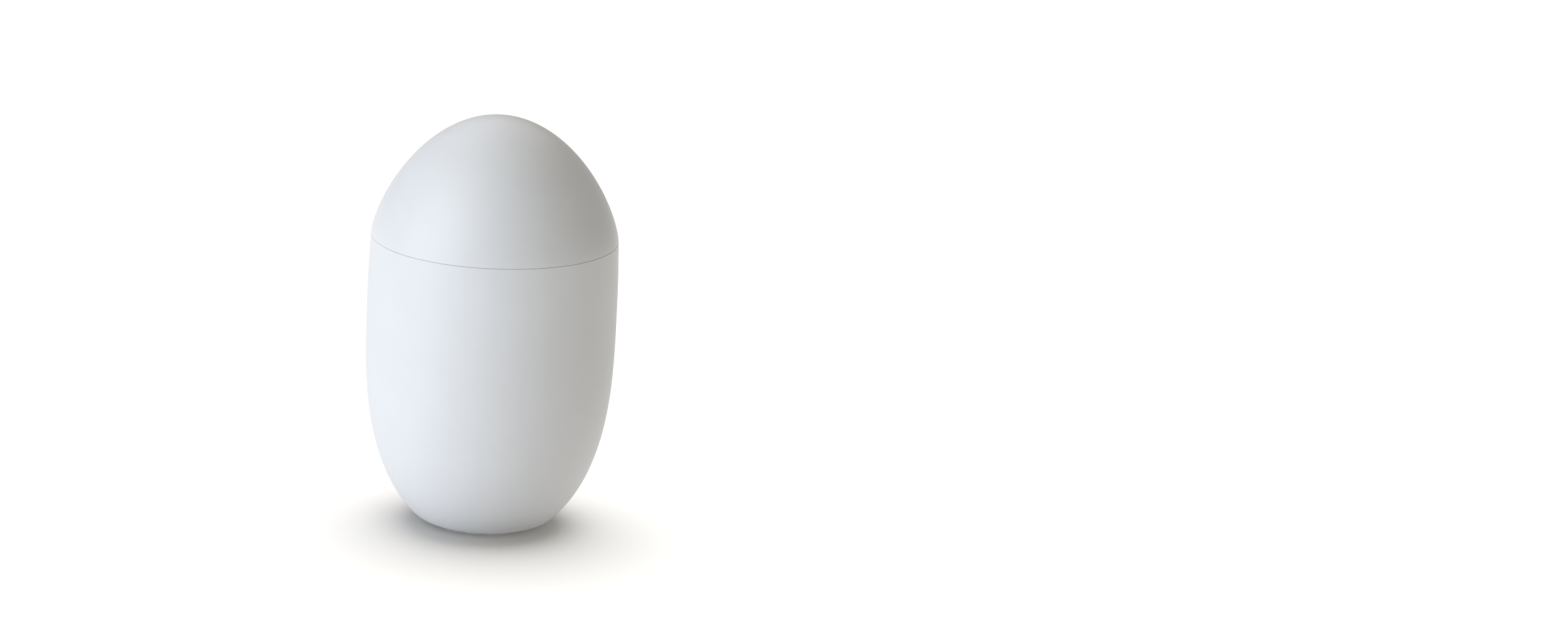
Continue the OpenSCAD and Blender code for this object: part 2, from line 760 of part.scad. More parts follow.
// A flat strip wound from the arbor's core out to the barrel's wall
module mainspring() {
    steps = 30 * spring_turns;
    r0 = core_r + 0.05;
    r1 = barrel_in_r - spring_t - 0.05;
    inner = [for (i = [0:steps]) polar(between(r0, r1, i / steps), 360 * spring_turns * i / steps)];
    outer = [for (i = [steps:-1:0])
        polar(between(r0, r1, i / steps) + spring_t, 360 * spring_turns * i / steps)];
    color("steelblue") translate([0, 0, barrel_z + barrel_floor_t + 0.2])
        linear_extrude(barrel_h - barrel_floor_t - 0.4) polygon(concat(inner, outer));
}

// ---- Going train ----

module second_arbor() {
    color("lightsteelblue") at(second_at)
        train_arbor(first_module, great_z - 0.6, great_t + 1.2, pinion_phase(second_dir), second_z - 0.7, 1.6);
}
module second_wheel() {
    color("gold") at(second_at, second_z) spoked_wheel(second_module, fine_t, shaft_r, 2.4, 0.9, 4);
}
module third_arbor() {
    color("lightsteelblue") at(third_at)
        train_arbor(second_module, second_z - 0.5, fine_t + 1, pinion_phase(third_dir), third_z - 0.7, 1.4);
}
module third_wheel() {
    color("gold") at(third_at, third_z) spoked_wheel(third_module, fine_t - 0.1, shaft_r, 2.2, 0.8, 4);
}
module escape_arbor() {
    color("lightsteelblue") at(escape_at)
        train_arbor(third_module, third_z - 0.4, fine_t + 0.8, pinion_phase(escape_dir), escape_z - 0.7, 1.4);
}

module escape_wheel() {
    color("gold") at(escape_at, escape_z) rotate(escape_phase) linear_extrude(fine_t - 0.2) difference() {
        polygon(point_outline(escape_teeth, escape_root, escape_tip, 4.6, 0.7));
        for (k = [0:4]) rotate(72 * k) translate([2.75, 0]) circle(r = 0.95);
        circle(r = shaft_r);
    }
}

// ---- Escapement ----

anchor_pins_at = [for (s = [-1, 1]) escape_at
    + polar(escape_tip + anchor_pin_r + 0.8 * stop_gap, balance_dir + 180 + s * anchor_spread + 180)];

module balance_staff() {
    color("lightsteelblue") at(balance_at) {
        translate([0, 0, lower_z]) cylinder(h = upper_top - lower_z, r = pivot_r);
        translate([0, 0, deck_z + eps]) cylinder(h = pillar_h - 2 * eps, r = shaft_r);
        translate([0, 0, anchor_z - 0.6]) cylinder(h = 0.6, r = 1.4);
        translate([0, 0, anchor_z + fine_t]) cylinder(h = balance_z - anchor_z - fine_t, r = 1.4);
    }
}

module anchor() {
    color("silver") translate([0, 0, anchor_z]) linear_extrude(fine_t) difference() {
        union() {
            translate(balance_at) circle(r = arm_boss_r);
            for (p = anchor_pins_at) bar(balance_at, p, 1.1);
        }
        translate(balance_at) circle(r = shaft_r);
        for (p = anchor_pins_at) translate(p) circle(r = anchor_pin_r);
    }
}

module anchor_pins() {
    color("lightsteelblue") for (p = anchor_pins_at)
        at(p, escape_z - 0.2) cylinder(h = anchor_z + fine_t - escape_z + 0.2, r = anchor_pin_r);
}

module balance_wheel() {
    color("gold") at(balance_at, balance_z) linear_extrude(fine_t + 0.2) difference() {
        circle(r = balance_r);
        difference() {
            circle(r = balance_r - 1.2);
            circle(r = 2);
            translate([-balance_r, -0.7]) square([2 * balance_r, 1.4]);
        }
        circle(r = shaft_r);
    }
}

// ---- Strike work ----

module strike_arbor() {
    color("lightsteelblue") at(strike_at)
        train_arbor(first_module, barrel_z - 0.4, barrel_gear_t + 1, pinion_phase(strike_dir), star_z - 0.7, 1.6);
}

module strike_wheel() {
    color("gold") at(strike_at, star_z) rotate(star_phase) linear_extrude(fine_t - 0.2) difference() {
        polygon(point_outline(star_teeth, star_root, star_tip, 6.5, 1.1));
        circle(r = shaft_r);
    }
}

fork_pins_at = [for (s = [-1, 1]) strike_at
    + polar(star_tip + fork_pin_r + stop_gap, hammer_dir + s * fork_spread)];

module hammer_arbor() {
    foot = bell_top - 4.2;
    color("lightsteelblue") at(hammer_at) {
        translate([0, 0, foot]) cylinder(h = cam_z + 1 - foot, r = shaft_r);
        translate([0, 0, deck_z + 0.1]) cylinder(h = hammer_shoulder_t, r = hammer_shoulder_r);
        translate([0, 0, upper_z - 0.7]) cylinder(h = hammer_shoulder_t, r = hammer_shoulder_r);
    }
}

module hammer_fork() {
    color("silver") translate([0, 0, fork_z]) linear_extrude(arm_t) difference() {
        union() {
            translate(hammer_at) circle(r = arm_boss_r);
            for (p = fork_pins_at) bar(hammer_at, p, fork_w);
        }
        translate(hammer_at) circle(r = shaft_r);
        for (p = fork_pins_at) translate(p) circle(r = fork_pin_r);
    }
}

module fork_pins() {
    color("lightsteelblue") for (p = fork_pins_at)
        at(p, star_z - 0.2) cylinder(h = fork_z + arm_t - star_z + 0.2, r = fork_pin_r);
}

module lock_arm() {
    color("silver") translate([0, 0, cam_z - 0.1]) linear_extrude(arm_t) difference() {
        union() {
            translate(hammer_at) circle(r = lock_boss_r);
            bar(hammer_at, lock_tip, bar_w);
        }
        translate(hammer_at) circle(r = shaft_r);
    }
}

module hammer_arm() {
    color("silver") translate([0, 0, hammer_arm_z]) linear_extrude(arm_t) difference() {
        union() {
            translate(hammer_at) circle(r = arm_boss_r);
            bar(hammer_at, head_at, arm_w);
        }
        translate(hammer_at) circle(r = shaft_r);
        translate(head_at) circle(r = head_pin_r);
    }
}

module hammer_head() {
    color("peru") at(head_at) {
        translate([0, 0, hammer_arm_z - hammer_h]) cylinder(h = hammer_h, r = hammer_r);
        translate([0, 0, hammer_arm_z - eps]) cylinder(h = arm_t + 0.3, r = head_pin_r);
        translate([0, 0, hammer_arm_z + arm_t]) cylinder(h = head_rivet_t, r = head_rivet_r);
    }
}

// ---- Release lever ----

module release_lever() {
    color("silver") translate([0, 0, cam_z + 0.05]) linear_extrude(lever_t) difference() {
        union() {
            translate(lever_at) circle(r = 2);
            bar(lever_at, elbow_at, bar_w);
            bar(elbow_at, nose_at, 2 * nose_r);
            bar(lever_at, tail_at, bar_w);
        }
        translate(lever_at) circle(r = 1 + running_gap);
    }
}

lower_shell();
foot_pad();
ballast_weight();
ballast_screw();
collar_ring();
upper_plate();
lower_plate();
pillars();
pillar_nuts();
movement_screws();
main_bush();
bell_post();
bell();
bell_nut();
stop_pin();
lever_post();
lever_clip();
lever_spring();
cap_shell();
cap_carrier();
carrier_screws();
hub_ring();
main_arbor();
ratchet_wheel();
arbor_clip();
release_cam();
stop_arm();
great_wheel();
click_rivet();
click_spring();
click();
spring_barrel();
barrel_lid();
mainspring();
second_arbor();
second_wheel();
third_arbor();
third_wheel();
escape_arbor();
escape_wheel();
balance_staff();
anchor();
anchor_pins();
balance_wheel();
strike_arbor();
strike_wheel();
hammer_arbor();
hammer_fork();
fork_pins();
lock_arm();
hammer_arm();
hammer_head();
release_lever();
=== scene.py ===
import json
import math

import bmesh
import bpy
from mathutils import Matrix, Vector


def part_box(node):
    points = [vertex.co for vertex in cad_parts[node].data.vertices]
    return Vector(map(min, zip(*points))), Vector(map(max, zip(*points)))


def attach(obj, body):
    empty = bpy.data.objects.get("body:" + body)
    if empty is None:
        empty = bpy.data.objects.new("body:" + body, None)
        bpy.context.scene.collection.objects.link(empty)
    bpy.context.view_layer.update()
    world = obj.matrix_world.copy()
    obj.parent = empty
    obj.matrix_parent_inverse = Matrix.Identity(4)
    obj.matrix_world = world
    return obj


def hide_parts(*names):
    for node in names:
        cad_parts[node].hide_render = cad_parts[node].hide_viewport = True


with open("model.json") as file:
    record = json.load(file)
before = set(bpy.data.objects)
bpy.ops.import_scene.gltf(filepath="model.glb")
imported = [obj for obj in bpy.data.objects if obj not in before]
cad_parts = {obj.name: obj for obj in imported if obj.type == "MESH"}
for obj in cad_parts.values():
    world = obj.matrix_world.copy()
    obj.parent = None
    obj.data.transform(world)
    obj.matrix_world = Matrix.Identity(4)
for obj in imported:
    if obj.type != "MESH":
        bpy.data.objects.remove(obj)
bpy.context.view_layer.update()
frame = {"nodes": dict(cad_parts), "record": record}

mm = 0.001
slotOf = {part["node"]: part["material_slot"] for part in frame["record"]["subparts"]}
boxOf = {node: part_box(node) for node in frame["nodes"]}
bodyOf = {node: body for body, nodes in frame["record"]["behaviour"]["bodies"].items() for node in nodes}


class Wire:    # a socket that can stand in a sum
    def __init__(self, paint, socket):
        self.paint = paint
        self.socket = socket

    def __add__(self, other):
        return self.paint.maths("ADD", self, other)

    def __radd__(self, other):
        return self.paint.maths("ADD", other, self)

    def __sub__(self, other):
        return self.paint.maths("SUBTRACT", self, other)

    def __rsub__(self, other):
        return self.paint.maths("SUBTRACT", other, self)

    def __mul__(self, other):
        return self.paint.maths("MULTIPLY", self, other)

    def __rmul__(self, other):
        return self.paint.maths("MULTIPLY", other, self)

    def __abs__(self):
        return self.paint.maths("ABSOLUTE", self)


class Paint:    # one material and the nodes that it is made of
    def __init__(self, name):
        self.material = bpy.data.materials.new(name)
        self.material.use_nodes = True
        self.tree = self.material.node_tree
        self.shader = self.tree.nodes["Principled BSDF"]

    def add(self, kind, settings=None, sockets=None, output=0):    # any node: settings first, then sockets
        node = self.tree.nodes.new("ShaderNode" + kind)
        for key, value in (settings or {}).items():
            setattr(node, key, value)
        for key, value in (sockets or {}).items():
            self.feed(node.inputs[key], value)
        return Wire(self, node.outputs[output])

    def feed(self, socket, value):
        if isinstance(value, Wire):
            self.tree.links.new(value.socket, socket)
        else:
            socket.default_value = value

    def maths(self, operation, *values):
        return self.add("Math", {"operation": operation}, dict(enumerate(values)))

    def clamped(self, value):
        return self.add("Clamp", None, {"Value": value})

    def band(self, value, low, high):    # 0 below low, 1 above high, smooth in between
        return self.add("MapRange", {"interpolation_type": "SMOOTHSTEP"},
                        {"Value": value, "From Min": low, "From Max": high})

    def mix(self, factor, first, second):    # two colours
        return self.add("Mix", {"data_type": "RGBA"}, {0: factor, 6: first, 7: second}, output=2)

    def place(self, centre=(0, 0, 0), turn=(0, 0, 0), stretch=(1, 1, 1)):    # object coordinates, centred
        spot = self.add("TexCoord", output="Object")
        moved = self.add("Mapping", None, {"Vector": spot, "Location": [-c for c in centre]})
        return self.add("Mapping", None, {"Vector": moved, "Rotation": turn, "Scale": stretch})

    def cloud(self, spot, size, detail=2.0, roughness=0.5, distortion=0.0):    # noise with features of a size
        return self.add("TexNoise", None, {"Vector": spot, "Scale": 1 / size, "Detail": detail,
                                           "Roughness": roughness, "Distortion": distortion}, output="Fac")

    def cells(self, spot, size):
        return self.add("TexVoronoi", None, {"Vector": spot, "Scale": 1 / size}, output="Distance")

    def rings(self, spot, pitch, distortion=0.0):    # turning marks round the local Z axis
        return self.add("TexWave", {"wave_type": "RINGS", "rings_direction": "Z"},
                        {"Vector": spot, "Scale": 2 * math.pi / 20 / pitch, "Distortion": distortion,
                         "Detail": 2.0, "Detail Scale": 1.5}, output="Fac")

    def bump(self, height, depth, strength=1.0, under=None):    # depth in metres
        sockets = {"Height": height, "Distance": depth, "Strength": strength}
        if under is not None:
            sockets["Normal"] = under
        return self.add("Bump", None, sockets)

    def fix(self, **values):    # numbers that are the same all over
        for name, value in values.items():
            self.shader.inputs[name.replace("_", " ")].default_value = value

    def finish(self, colour, roughness, normal):
        self.feed(self.shader.inputs["Base Color"], colour)
        self.feed(self.shader.inputs["Roughness"], roughness)
        self.feed(self.shader.inputs["Normal"], normal)
        return self.material


satinWhite = {    # colours, then each feature's size and how much of it shows
    "light": (0.508, 0.514, 0.521, 1), "dull": (0.482, 0.488, 0.494, 1), "dust": (0.40, 0.395, 0.38, 1),
    "fingered": (0.44, 0.425, 0.40, 1), "roughness": 0.47, "gloss": 0.42, "flow": 14 * mm,
    "grain": 0.22 * mm, "pitSpread": 2.2, "grainDepth": 0.008 * mm, "sink": 9 * mm, "sinkDepth": 0.02 * mm,
    "handled": 26 * mm, "handledShow": 0.06, "speck": 1.1 * mm, "speckShow": 0.10,
    "dustPatch": 6 * mm, "dustReach": 0.5 * mm, "dustShow": 0.10,
    "scratch": 2.6 * mm, "scuffStart": 0.3 * mm, "scuffHeight": 5 * mm, "scuffShow": 0.16,
}


def shellFinish(name, seamHeight, restHeight, handling):    # moulded satin plastic, handled and a bit dusty
    s = satinWhite
    paint = Paint(name)
    spot = paint.place()
    height = paint.add("SeparateXYZ", None, {0: spot}, output="Z")
    flow = paint.cloud(spot, s["flow"], 3, 0.55, 0.4)
    grain = paint.cloud(spot, s["grain"], 2, 0.6)
    pits = paint.cells(spot, s["pitSpread"] * s["grain"])
    sink = paint.cloud(spot, s["sink"], 1, 0.4)
    fingers = paint.band(paint.cloud(spot, s["handled"], 4, 0.62, 0.7), 0.50, 0.66) * handling
    speck = paint.band(paint.cloud(spot, s["speck"], 2, 0.7), 0.735, 0.78)
    dust = 1 - paint.band(abs(height - seamHeight), 0.0, s["dustReach"])    # gathers along the parting line
    dust = dust * paint.band(paint.cloud(spot, s["dustPatch"], 3, 0.6), 0.30, 0.75)
    scuff = 1 - paint.band(height - restHeight, s["scuffStart"], s["scuffHeight"])    # ends above the base
    scratches = paint.cloud(paint.place(stretch=(1, 1, 6)), s["scratch"], 3, 0.7, 0.5)
    scuff = scuff * paint.band(scratches, 0.52, 0.62)
    colour = paint.mix(flow, s["dull"], s["light"])
    dirt = speck * s["speckShow"] + dust * s["dustShow"] + scuff * s["scuffShow"]
    colour = paint.mix(paint.clamped(dirt), colour, s["dust"])
    colour = paint.mix(fingers * s["handledShow"], colour, s["fingered"])
    roughness = s["roughness"] + (flow - 0.5) * 0.06 + (grain - 0.5) * 0.08 - fingers * 0.07 + scuff * 0.12
    wavy = paint.bump(sink, s["sinkDepth"], 0.35)
    rough = paint.bump(grain + pits * 0.4, s["grainDepth"], 0.5, wavy)
    paint.fix(IOR=1.49, Specular_IOR_Level=s["gloss"])
    return paint.finish(colour, roughness, rough)


innerPlastic = {
    "light": (0.70, 0.71, 0.71, 1), "dull": (0.60, 0.61, 0.61, 1), "roughness": 0.42,
    "flow": 3.5 * mm, "cloud": 5 * mm, "grain": 0.12 * mm, "depth": 0.006 * mm,
}


def innerPlasticFinish(name, centre):    # unpolished moulding with flow lines round the gate
    s = innerPlastic
    paint = Paint(name)
    spot = paint.place(centre)
    flow = paint.rings(spot, s["flow"], 6.0)
    cloud = paint.cloud(spot, s["cloud"], 3, 0.6, 0.8)
    grain = paint.cloud(spot, s["grain"], 2, 0.6)
    colour = paint.mix(cloud * 0.7 + flow * 0.3, s["dull"], s["light"])
    roughness = s["roughness"] + (cloud - 0.5) * 0.16 + (grain - 0.5) * 0.08
    paint.fix(IOR=1.49)
    return paint.finish(colour, roughness, paint.bump(grain + flow * 0.6, s["depth"], 0.5))


footRubber = {
    "light": (0.56, 0.565, 0.56, 1), "worn": (0.42, 0.42, 0.41, 1), "lintColour": (0.70, 0.69, 0.66, 1),
    "roughness": 0.8, "gloss": 0.35, "stipple": 0.45 * mm, "stippleDepth": 0.03 * mm, "wear": 4 * mm,
    "lint": 1.4 * mm, "lintShow": 0.35,
}


def footRubberFinish(name, centre):    # stippled rubber, worn and a little dirty where it stands
    s = footRubber
    paint = Paint(name)
    spot = paint.place(centre)
    stipple = paint.cells(spot, s["stipple"])
    wear = paint.cloud(spot, s["wear"], 4, 0.65, 0.5)
    hairs = paint.place(centre, (0, 0, 0.6), (1, 9, 1))
    lint = paint.band(paint.cloud(hairs, s["lint"], 3, 0.7), 0.64, 0.70)
    colour = paint.mix(paint.band(wear, 0.45, 0.7), s["light"], s["worn"])
    colour = paint.mix(lint * s["lintShow"], colour, s["lintColour"])
    roughness = s["roughness"] + (wear - 0.5) * 0.2
    paint.fix(IOR=1.5, Specular_IOR_Level=s["gloss"])
    return paint.finish(colour, roughness, paint.bump(stipple, s["stippleDepth"], 0.6))


castIron = {
    "dark": (0.035, 0.035, 0.038, 1), "bright": (0.13, 0.13, 0.135, 1), "rust": (0.16, 0.07, 0.035, 1),
    "roughness": 0.58, "gloss": 0.4, "metallic": 0.75, "sand": 0.55 * mm, "lumps": 3.2 * mm,
    "depth": 0.10 * mm, "rustPatch": 5.5 * mm, "rustShow": 0.5,
}


def castIronFinish(name, centre):    # sand-cast skin with a little rust in the hollows
    s = castIron
    paint = Paint(name)
    spot = paint.place(centre)
    sand = paint.cloud(spot, s["sand"], 4, 0.7)
    lumps = paint.cloud(spot, s["lumps"], 2, 0.5)
    rust = paint.band(paint.cloud(spot, s["rustPatch"], 4, 0.68, 0.6), 0.55, 0.72)
    colour = paint.mix(sand, s["dark"], s["bright"])
    colour = paint.mix(rust * s["rustShow"], colour, s["rust"])
    paint.fix(Specular_IOR_Level=s["gloss"])
    paint.feed(paint.shader.inputs["Metallic"], s["metallic"] - rust * 0.6)
    roughness = s["roughness"] + (sand - 0.5) * 0.3 + rust * 0.2
    return paint.finish(colour, roughness, paint.bump(sand + lumps * 0.8, s["depth"], 0.7))


metalMarks = {    # fine marks that every metal piece has
    "wander": 1.8 * mm, "scratch": 1.2 * mm, "scratchDepth": 0.004 * mm, "scratchShow": 0.25,
    "scratchColour": (0.9, 0.9, 0.9, 1),
}


def turnedMetal(name, centre, s):    # turned or stamped about the piece's own axis, tarnished and scratched
    paint = Paint(name)
    spot = paint.place(centre)
    marks = paint.rings(spot, s["pitch"], 0.6)
    wander = paint.cloud(paint.place(centre, (0, 0, 0.4), (1, 14, 3)), metalMarks["wander"], 3, 0.7)
    tarnish = paint.band(paint.cloud(spot, s["patch"], 4, 0.64, 0.6), 0.46, 0.74)
    strokes = paint.place(centre, (0, 0, 1.1), (1, 30, 1))
    scratch = paint.band(paint.cloud(strokes, metalMarks["scratch"], 2, 0.6), 0.66, 0.70)
    colour = paint.mix(wander, s["deep"], s["light"])
    colour = paint.mix(tarnish * s["tarnishing"], colour, s["tarnish"])
    colour = paint.mix(scratch * metalMarks["scratchShow"], colour, metalMarks["scratchColour"])
    roughness = s["roughness"] + (marks - 0.5) * 0.10 + (wander - 0.5) * 0.08
    roughness = roughness + tarnish * 0.14 - scratch * 0.05
    paint.fix(Metallic=1.0)
    ground = paint.bump(marks + wander * 0.5, s["depth"], 0.45)
    return paint.finish(colour, roughness, paint.bump(scratch, metalMarks["scratchDepth"], 0.5, ground))


metals = {
    "brass": {
        "light": (0.80, 0.585, 0.255, 1), "deep": (0.66, 0.46, 0.185, 1), "tarnish": (0.33, 0.205, 0.085, 1),
        "tarnishing": 0.45, "patch": 5 * mm, "pitch": 0.16 * mm, "depth": 0.004 * mm, "roughness": 0.27,
    },
    "bell_steel": {
        "light": (0.76, 0.765, 0.78, 1), "deep": (0.66, 0.67, 0.69, 1), "tarnish": (0.47, 0.45, 0.42, 1),
        "tarnishing": 0.3, "patch": 9 * mm, "pitch": 0.30 * mm, "depth": 0.002 * mm, "roughness": 0.13,
    },
    "spring_steel": {
        "light": (0.105, 0.135, 0.26, 1), "deep": (0.06, 0.075, 0.15, 1), "tarnish": (0.20, 0.12, 0.075, 1),
        "tarnishing": 0.55, "patch": 3 * mm, "pitch": 0.12 * mm, "depth": 0.002 * mm, "roughness": 0.24,
    },
    "fixings": {
        "light": (0.66, 0.67, 0.69, 1), "deep": (0.55, 0.57, 0.61, 1), "tarnish": (0.60, 0.53, 0.36, 1),
        "tarnishing": 0.4, "patch": 1.6 * mm, "pitch": 0.14 * mm, "depth": 0.004 * mm, "roughness": 0.30,
    },
    "steel": {
        "light": (0.62, 0.625, 0.635, 1), "deep": (0.46, 0.465, 0.475, 1), "tarnish": (0.27, 0.24, 0.215, 1),
        "tarnishing": 0.35, "patch": 2.4 * mm, "pitch": 0.10 * mm, "depth": 0.004 * mm, "roughness": 0.30,
    },
}


def axisOf(node):    # the middle of a node, from which its turning marks spread
    low, high = boxOf[node]
    return (low + high) / 2


def finishFor(node):
    slot = slotOf[node]
    centre = axisOf(node)
    if slot == "inner_plastic":
        return innerPlasticFinish(node, centre)
    if slot == "foot_rubber":
        return footRubberFinish(node, centre)
    if slot == "iron":
        return castIronFinish(node, centre)
    return turnedMetal(node, centre, metals[slot])


sharpAngle = 40    # an edge that turns by more, in degrees, is shaded sharp


def keep(bm, name, node, material):    # turns a bmesh into a piece that stands for a node
    mesh = bpy.data.meshes.new(name)
    for face in bm.faces:
        face.smooth = True
    for edge in bm.edges:
        edge.smooth = edge.calc_face_angle(0) < math.radians(sharpAngle)
    bm.to_mesh(mesh)
    bm.free()
    piece = bpy.data.objects.new(name, mesh)
    bpy.context.scene.collection.objects.link(piece)
    mesh.materials.append(material)
    evenShade = piece.modifiers.new("evenShade", "WEIGHTED_NORMAL")
    evenShade.weight = 60
    evenShade.keep_sharp = True
    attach(piece, bodyOf[node])
    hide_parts(node)


def lathe(bm, outline, steps):    # spins an outline of (radius, height) points in millimetres about Z
    verts = [bm.verts.new((radius * mm, 0, height * mm)) for radius, height in outline]
    closed = outline[0][0] > 0 and outline[-1][0] > 0
    edges = [bm.edges.new(pair) for pair in zip(verts, verts[1:] + verts[:1] if closed else verts[1:])]
    bmesh.ops.spin(bm, geom=verts + edges, cent=(0, 0, 0), axis=(0, 0, 1), angle=2 * math.pi, steps=steps,
                   use_merge=True)
    bmesh.ops.remove_doubles(bm, verts=bm.verts, dist=0.0002 * mm)
    bmesh.ops.dissolve_degenerate(bm, edges=bm.edges, dist=0.0001 * mm)
    bmesh.ops.recalc_face_normals(bm, faces=bm.faces)


def bent(corner, steps):    # a smooth curve from a corner's first point to its last
    points = []
    for i in range(steps + 1):
        t = i / steps
        weights = ((1 - t) ** 2, 2 * t * (1 - t), t ** 2)
        points.append(tuple(sum(w * p[k] for w, p in zip(weights, corner)) for k in (0, 1)))
    return points


def roundEdges(bm, width, sharpness, segments):    # rounds every edge that turns by more than an angle
    edges = [e for e in bm.edges if len(e.link_faces) == 2 and e.calc_face_angle(0) > math.radians(sharpness)]
    if edges:
        bmesh.ops.bevel(bm, geom=edges, offset=width * mm, offset_type="OFFSET", segments=segments,
                        profile=0.5, affect="EDGES", material=-1, clamp_overlap=True)


def joined(bm, others, operation):    # joins or cuts closed solids, and returns the result as a bmesh
    def made(solid, label):
        mesh = bpy.data.meshes.new(label)
        solid.to_mesh(mesh)
        solid.free()
        thing = bpy.data.objects.new(label, mesh)
        bpy.context.scene.collection.objects.link(thing)
        return thing
    base = made(bm, "solid")
    tools = [made(other, "tool") for other in others]
    for tool in tools:
        modifier = base.modifiers.new("Join", "BOOLEAN")
        modifier.operation = operation
        modifier.solver = "MANIFOLD"
        modifier.object = tool
    result = bmesh.new()
    result.from_object(base, bpy.context.evaluated_depsgraph_get())
    for thing in [base, *tools]:
        bpy.data.objects.remove(thing)
    return result


bodyShell = {
    "steps": 144, "rings": 56, "bellyHeight": 55, "seamInset": 0.35, "baseRadius": 15.5, "power": 3.1,
    "wall": 2, "rimBevel": 0.06, "lip": 0.03, "baseRound": 1.8, "baseArc": 7, "floor": 3,
    "footRadius": 13.4, "footTop": 1.4, "headRadius": 3.1, "headHeight": 1.8, "screwRadius": 1.6,
    "bossRadius": 2.1, "bossPlace": 24.6, "bossHeight": 12, "bossSteps": 40, "ribWidth": 1.2,
    "bossAngles": (95, 215, 335), "pilotRadius": 1.2, "pilotDepth": 9, "pilotSteps": 32, "rounding": 0.04,
}


def bellyRadius():    # the widest radius that keeps within the box on every side
    low, high = boxOf["lower_shell"]
    return min(-low.x, -low.y, high.x, high.y) / mm


def bodyRadius(height):    # outer radius in millimetres at a height in millimetres
    s = bodyShell
    low, high = boxOf["lower_shell"]
    belly, rest, top = bellyRadius(), low.z / mm, high.z / mm
    if height >= s["bellyHeight"]:
        share = (height - s["bellyHeight"]) / (top - s["bellyHeight"])
        edge = (belly - s["seamInset"]) / belly
        return belly * math.sqrt(1 - (1 - edge ** 2) * share ** 2)
    share = (s["bellyHeight"] - height) / (s["bellyHeight"] - rest)
    return belly * math.sqrt(1 - (1 - (s["baseRadius"] / belly) ** 2) * share ** s["power"])


def bodyInnerRadius(height):    # the wall is measured across the skin
    slope = (bodyRadius(height + 0.01) - bodyRadius(height - 0.01)) / 0.02
    return bodyRadius(height) - bodyShell["wall"] * math.hypot(1, slope)


def bodyOutline():
    s = bodyShell
    low, high = boxOf["lower_shell"]
    rest, rim = low.z / mm, high.z / mm + s["lip"]    # a lip makes the parting line finer
    floor = s["footTop"] + s["floor"]
    start, end = rest + s["baseRound"], rim - s["rimBevel"]
    steps = range(s["rings"] + 1)
    skin = [(bodyRadius(h), h) for h in (start + (end - start) * i / s["rings"] for i in steps)]
    inside = [(bodyInnerRadius(h), h) for h in (end + (floor - end) * i / s["rings"] for i in steps)]
    corner = [(s["baseRadius"] - s["baseRound"], rest), (s["baseRadius"], rest), skin[0]]
    edge = bent(corner, s["baseArc"])[:-1]    # its last point is the skin's first
    return [(s["screwRadius"], floor), (s["screwRadius"], s["footTop"] + s["headHeight"]),
            (s["headRadius"], s["footTop"] + s["headHeight"]), (s["headRadius"], s["footTop"]),
            (s["footRadius"], s["footTop"]), (s["footRadius"], rest), *edge, *skin,
            (skin[-1][0] - s["rimBevel"], rim), (inside[0][0] + s["rimBevel"], rim), *inside]


def turned(bm, angle):    # turns everything about Z by an angle in degrees
    about = Matrix.Rotation(math.radians(angle), 3, "Z")
    bmesh.ops.rotate(bm, verts=bm.verts, cent=(0, 0, 0), matrix=about)


def mountBoss(angle, top):    # a screw boss with the rib that ties it to the wall
    s = bodyShell
    foot = top - s["bossHeight"]
    boss = bmesh.new()
    lathe(boss, [(0, foot), (s["bossRadius"], foot), (s["bossRadius"], top), (0, top)], s["bossSteps"])
    bmesh.ops.translate(boss, verts=boss.verts, vec=(s["bossPlace"] * mm, 0, 0))
    reach = bodyInnerRadius(top) + s["wall"] / 2 - s["bossPlace"]
    rib = bmesh.new()
    size = (reach * mm, s["ribWidth"] * s["bossRadius"] * mm, s["bossHeight"] * mm)
    middle = ((s["bossPlace"] + reach / 2) * mm, 0, (top - s["bossHeight"] / 2) * mm)
    bmesh.ops.create_cube(rib, size=1, matrix=Matrix.Translation(middle) @ Matrix.Diagonal((*size, 1)))
    for part in (boss, rib):
        turned(part, angle)
    return [boss, rib]


def pilotHole(place, angle, radius, low, high):    # the cutter for a screw's hole
    hole = bmesh.new()
    lathe(hole, [(0, low), (radius, low), (radius, high), (0, high)], bodyShell["pilotSteps"])
    bmesh.ops.translate(hole, verts=hole.verts, vec=(place * mm, 0, 0))
    turned(hole, angle)
    return hole


def makeBodyShell():
    s = bodyShell
    shell = bmesh.new()
    lathe(shell, bodyOutline(), s["steps"])
    roundEdges(shell, s["rounding"], sharpAngle, 3)
    top = boxOf["upper_plate"][0].z / mm
    solids = [solid for angle in s["bossAngles"] for solid in mountBoss(angle, top)]
    shell = joined(shell, solids, "UNION")
    holes = [pilotHole(s["bossPlace"], angle, s["pilotRadius"], top - s["pilotDepth"], top + 1)
             for angle in s["bossAngles"]]
    shell = joined(shell, holes, "DIFFERENCE")
    rim, rest = boxOf["lower_shell"][1].z, boxOf["lower_shell"][0].z
    keep(shell, "bodyShell", "lower_shell", shellFinish("bodyWhite", rim, rest, 0.5))
    print("body shell made")


capShell = {
    "steps": 144, "rings": 48, "power": 1.42, "wall": 2, "rimBevel": 0.06, "rounding": 0.04,
    "bossPlace": 17, "bossHeight": 7, "bossRadius": 2.6, "bossAngles": (30, 150, 270),
    "pilotRadius": 1.1, "pilotDepth": 6.5,
}


def capRadius(height, inset=0.0):    # radius in millimetres of the cap's skin, or of one that lies inside it
    seam, crown = capSeam(), boxOf["cap_shell"][1].z / mm
    share = min(1, (height - seam) / (crown - inset - seam))
    return (bodyRadiusAtSeam() - inset) * math.sqrt(max(0, 1 - share ** capShell["power"]))


def capSeam():    # the parting line runs midway between the two rims
    return (boxOf["lower_shell"][1].z + boxOf["cap_shell"][0].z) / 2 / mm


def bodyRadiusAtSeam():
    return bellyRadius() - bodyShell["seamInset"]


